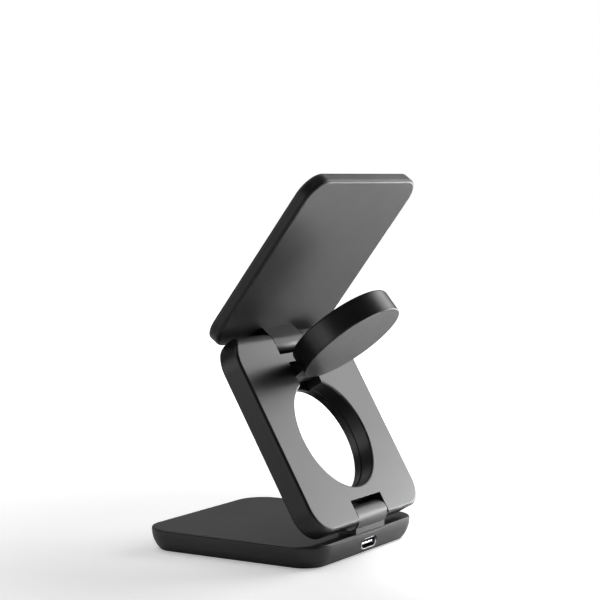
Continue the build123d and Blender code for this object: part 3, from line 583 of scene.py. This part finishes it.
def add_screws():
    """Turned about each axis: a head with a sunk cross, then a shank whose ridge climbs a pitch a turn."""
    points = node_points("base_screws")
    foot, top = points[:, 2].min(), points[:, 2].max()
    seat = np.unique(np.round(points[:, 2], 6))[1]
    front_right = points[(points[:, 0] > 0.0) & (points[:, 1] < 0.0)]
    head, shank = (np.ptp(front_right[np.isclose(front_right[:, 2], end), 0]) / 2.0 for end in (foot, top))
    turn = 2.0 * pi * np.arange(SCREW_AROUND) / SCREW_AROUND
    face = np.linspace(HEAD_HUB, HEAD_FACE, HEAD_RINGS) * head
    steps = int((top - seat) / THREAD_PITCH * THREAD_STEPS)
    climb = np.linspace(seat, top, steps)
    reach = np.concatenate([face, (head, head, shank), np.full(steps, shank)])
    level = np.concatenate([np.full(face.size, foot), (foot + HEAD_EDGE * head, seat, seat), climb])
    reach, level, angle = np.broadcast_arrays(reach[:, None], level[:, None], turn)
    near = np.minimum(np.abs(reach * np.cos(angle)), np.abs(reach * np.sin(angle)))
    sunk = np.clip((SLOT_WIDTH / 2.0 - near) / SLOT_SOFT + 0.5, 0.0, 1.0)
    sunk = sunk * np.clip((SLOT_REACH - reach) / SLOT_SOFT, 0.0, 1.0) * (level <= foot)
    on_shank = np.clip((level - seat) / THREAD_PITCH, 0.0, 1.0)
    groove = 0.5 - 0.5 * np.cos(2.0 * pi * level / THREAD_PITCH - angle)
    point = np.clip((level - top) / THREAD_PITCH + 1.0, 0.0, 1.0)
    reach = reach - on_shank * THREAD_DEPTH * groove - point * THREAD_DEPTH
    turned = np.stack([reach * np.cos(angle), reach * np.sin(angle), level + SLOT_DEPTH * sunk], axis=-1)
    places = np.pad(screw_places(points, head), ((0, 0), (0, 1)))
    rings = places[:, None, None] + turned
    add_piece(
        "base_screws_threaded", rings, "base", "hardware_steel", smooth=True, stands_for=("base_screws",),
    )


# Parts on the base's circuit board, in millimetres from the middle of its upper face
# Each part is (x, y, width, depth, height)

BOARD_CHIPS = (
    (0.0, -0.6, 5.0, 5.0, 0.9),
    (-8.2, 0.8, 4.0, 4.0, 0.85),
    (8.4, 0.6, 3.0, 3.0, 0.75),
)
BOARD_CHOKES = (
    (-14.6, -0.4, 5.2, 5.2, 1.7),
    (14.6, -0.4, 5.2, 5.2, 1.7),
)
CAPACITOR_ROW = 12
CAPACITOR_PITCH = 1.5
CAPACITOR_Y = 4.3
CAPACITOR_SIZE = (0.5, 1.0, 0.5)
TERMINAL_DEPTH = 0.28

board_low, board_high = (np.array(corner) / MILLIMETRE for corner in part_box("base_circuit_board"))
board_middle = (board_low + board_high) / 2.0


def add_board_parts(name, parts, slot_name, corner, edge):
    """Blocks that stand on the board's upper face, with softened corners and edges."""
    blocks = np.array([
        (board_middle[0] + x, board_middle[1] + y, board_high[2], *size) for x, y, *size in parts
    ])
    rings = standing_blocks(blocks, corner, edge) * MILLIMETRE
    add_piece(name, rings, "base", slot_name, smooth=False)


def capacitor_rows():
    """Bodies of the small capacitors in one row at a pitch, and the two terminals at the ends of each."""
    x = (np.arange(CAPACITOR_ROW) - (CAPACITOR_ROW - 1) / 2.0) * CAPACITOR_PITCH
    width, depth, height = CAPACITOR_SIZE
    bodies = [(place, CAPACITOR_Y, width, depth - 2.0 * TERMINAL_DEPTH, height) for place in x]
    ends = (depth - TERMINAL_DEPTH) / 2.0
    rows = (CAPACITOR_Y - ends, CAPACITOR_Y + ends)
    terminals = [(place, row, width, TERMINAL_DEPTH, height) for place in x for row in rows]
    return bodies, terminals


mount_axis = {mount["name"]: mount["axis"] for mount in frame["record"]["mounts"]}
capacitors, capacitor_terminals = capacitor_rows()
add_tongue_nosing()
add_tongue_contacts()
add_coil("earbud_coil", "base", mount_axis["earbud_rest"], layers=1)
add_coil("phone_coil", "pad", mount_axis["phone_face"], layers=1)
add_coil("watch_coil", "puck", mount_axis["watch_face"], layers=2)
add_screws()
add_board_parts("board_chips", BOARD_CHIPS, "connector_plastic", corner=0.15, edge=0.08)
add_board_parts("board_chokes", BOARD_CHOKES, "ferrite_sheet", corner=0.5, edge=0.15)
add_board_parts("board_capacitors", capacitors, "cable_film", corner=0.05, edge=0.03)
add_board_parts("capacitor_terminals", capacitor_terminals, "connector_steel", corner=0.05, edge=0.03)


# Studio

STAND_CENTRE = Vector((0.0, 0.01, 0.05))
VIEW_HEADING = radians(CAMERA_AZIMUTH_DEGREES + 90.0)
WHITE = (1.0, 1.0, 1.0, 1.0)
ROOM_LIGHT = 0.06
WALL_SIDES = (0.5, 0.8)
WALL_FOOT = (0.3, 0.5)
FLOOR_COLOUR = (0.9, 0.9, 0.9, 1.0)
FLOOR_ROUGHNESS = 0.9
FLOOR_HALF = 3.0
FLOOR_PATCH = Vector((-0.07, 0.11, 0.0))
GLOW_REACH = (0.08, 0.4)
GLOW_LEVEL = (0.35, 1.0)


def heading(azimuth, elevation):
    """Unit direction with its azimuth counted from +X towards +Y, both angles in degrees."""
    turn, rise = radians(azimuth), radians(elevation)
    return Vector((cos(turn) * cos(rise), sin(turn) * cos(rise), sin(rise)))


def set_world():
    """White to the camera; mirrors see a white wall behind the stand in a dim room."""
    world = bpy.data.worlds.new("studio_air")
    scene.world = world
    world.use_nodes = True
    tree = world.node_tree
    tree.nodes.clear()
    room = shader_node(tree, "ShaderNodeBackground", Color=WHITE, Strength=ROOM_LIGHT)
    white = shader_node(tree, "ShaderNodeBackground", Color=WHITE, Strength=1.0)
    direction = tree.nodes.new("ShaderNodeTexCoord").outputs["Generated"]
    ahead = shader_node(tree, "ShaderNodeVectorMath", {"operation": "DOT_PRODUCT"})
    link(tree, direction, ahead.inputs[0])
    ahead.inputs[1].default_value = (cos(VIEW_HEADING), sin(VIEW_HEADING), 0.0)
    split = tree.nodes.new("ShaderNodeSeparateXYZ")
    link(tree, direction, split.inputs[0])
    across = map_range(tree, ahead.outputs["Value"], *WALL_SIDES, 0.0, 1.0)
    above = map_range(tree, split.outputs["Z"], *WALL_FOOT, 0.0, 1.0)
    wall = math_node(tree, "MULTIPLY", across, above)
    path = tree.nodes.new("ShaderNodeLightPath")
    mirrored = math_node(tree, "MULTIPLY", path.outputs["Is Glossy Ray"], wall)
    mix = tree.nodes.new("ShaderNodeMixShader")
    link(tree, math_node(tree, "MAXIMUM", path.outputs["Is Camera Ray"], mirrored), mix.inputs[0])
    link(tree, room.outputs[0], mix.inputs[1])
    link(tree, white.outputs[0], mix.inputs[2])
    link(tree, mix.outputs[0], tree.nodes.new("ShaderNodeOutputWorld").inputs[0])


def add_floor():
    """A wide pale floor, clear from below, whose glow for the camera is weakest at the stand's shadow."""
    mesh = bpy.data.meshes.new("floor")
    mesh.from_pydata(
        [(-FLOOR_HALF, -FLOOR_HALF, 0.0), (FLOOR_HALF, -FLOOR_HALF, 0.0),
         (FLOOR_HALF, FLOOR_HALF, 0.0), (-FLOOR_HALF, FLOOR_HALF, 0.0)],
        [],
        [(0, 1, 2, 3)],
    )
    floor = bpy.data.objects.new("floor", mesh)
    scene.collection.objects.link(floor)
    material, tree, shader = new_finish(
        "floor_paper",
        Base_Color=FLOOR_COLOUR,
        Roughness=FLOOR_ROUGHNESS,
        Emission_Color=WHITE,
    )
    away = shader_node(tree, "ShaderNodeVectorMath", {"operation": "LENGTH"})
    link(tree, tree.nodes.new("ShaderNodeTexCoord").outputs["Object"], away.inputs[0])
    glow = map_range(tree, away.outputs["Value"], *GLOW_REACH, *GLOW_LEVEL)
    camera_ray = tree.nodes.new("ShaderNodeLightPath").outputs["Is Camera Ray"]
    link(tree, math_node(tree, "MULTIPLY", camera_ray, glow), shader.inputs["Emission Strength"])
    from_below = tree.nodes.new("ShaderNodeNewGeometry").outputs["Backfacing"]
    mix = tree.nodes.new("ShaderNodeMixShader")
    link(tree, math_node(tree, "MULTIPLY", camera_ray, from_below), mix.inputs[0])
    link(tree, shader.outputs[0], mix.inputs[1])
    link(tree, tree.nodes.new("ShaderNodeBsdfTransparent").outputs[0], mix.inputs[2])
    link(tree, mix.outputs[0], tree.nodes["Material Output"].inputs["Surface"])
    mesh.materials.append(material)


def add_softbox(
    name, azimuth, elevation, distance, width, height, radiance, aim=STAND_CENTRE, spread=180.0,
):
    """A flat soft lamp that faces its aim in a beam; its power is radiance times pi times its area."""
    data = bpy.data.lights.new(name, "AREA")
    data.shape = "RECTANGLE"
    data.size = width
    data.size_y = height
    data.energy = radiance * pi * width * height
    data.spread = radians(spread)
    lamp = bpy.data.objects.new(name, data)
    outward = heading(azimuth, elevation)
    lamp.location = aim + distance * outward
    lamp.rotation_euler = outward.to_track_quat("Z", "Y").to_euler()
    lamp.visible_camera = False
    scene.collection.objects.link(lamp)


set_camera()
set_world()
add_floor()
add_softbox(
    "side_softbox", azimuth=154.0, elevation=25.0, distance=0.75, width=0.62, height=0.5, radiance=3.6,
)
add_softbox(
    "low_softbox", azimuth=158.0, elevation=-0.7, distance=0.4, width=0.27, height=0.08, radiance=14.5,
)
add_softbox(
    "left_softbox", azimuth=-31.0, elevation=3.0, distance=0.9, width=0.8, height=0.7, radiance=1.4,
)
add_softbox(
    "top_softbox", azimuth=-85.0, elevation=66.0, distance=0.85, width=0.7, height=0.7, radiance=1.7,
)
add_softbox(
    "floor_softbox", azimuth=0.0, elevation=90.0, distance=0.13, width=0.12, height=0.08, radiance=7.0,
    aim=FLOOR_PATCH, spread=65.0,
)
scene.view_settings.view_transform = "Standard"
